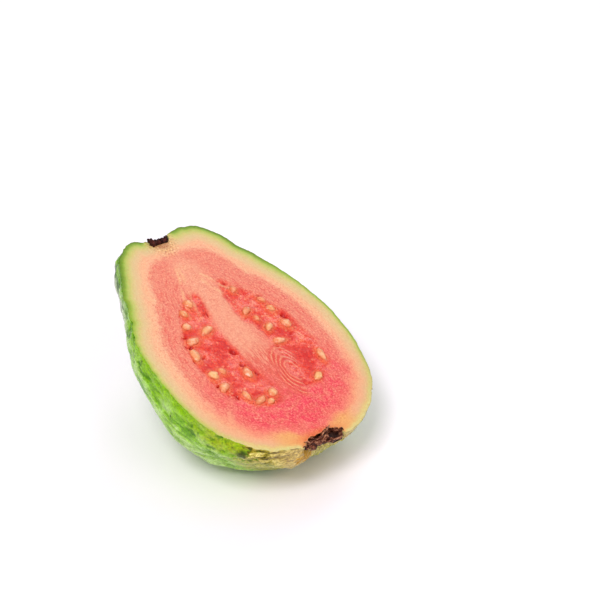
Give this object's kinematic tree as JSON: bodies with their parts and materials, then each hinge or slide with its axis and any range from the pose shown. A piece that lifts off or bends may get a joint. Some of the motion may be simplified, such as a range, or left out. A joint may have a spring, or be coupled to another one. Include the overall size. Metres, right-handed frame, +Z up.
{
  "type": "lemon guava half",
  "caption": "Half a ripe guava cut lengthwise: pink seeded flesh, green skin, stem scar and dried calyx, lying cut face up on a small flat spot.",
  "frame": {"origin": "on the resting surface, under the centre of the half's bounding box", "axes": "+Z up; +X level, from the stem end towards the calyx end; +Y across the cut face"},
  "size_m": [0.09, 0.0702, 0.0448],
  "materials": {
    "fruit": "moist coral flesh fading to cream, under a waxy green skin",
    "dried_stalk": "dry, fibrous, rough",
    "dried_calyx": "dry, papery, rough",
    "seed": "hard, smooth, moist"
  },
  "bodies": {
    "root": {"guava_half": "fruit", "stem_scar": "dried_stalk", "calyx": "dried_calyx", "seed_01": "seed", "seed_02": "seed", "seed_03": "seed", "seed_04": "seed", "seed_05": "seed", "seed_06": "seed", "seed_07": "seed", "seed_08": "seed", "seed_09": "seed", "seed_10": "seed", "seed_11": "seed", "seed_12": "seed", "seed_13": "seed", "seed_14": "seed", "seed_15": "seed", "seed_16": "seed", "seed_17": "seed", "seed_18": "seed", "seed_19": "seed", "seed_20": "seed", "seed_21": "seed", "seed_22": "seed", "seed_23": "seed", "seed_24": "seed"}
  },
  "joints": []
}
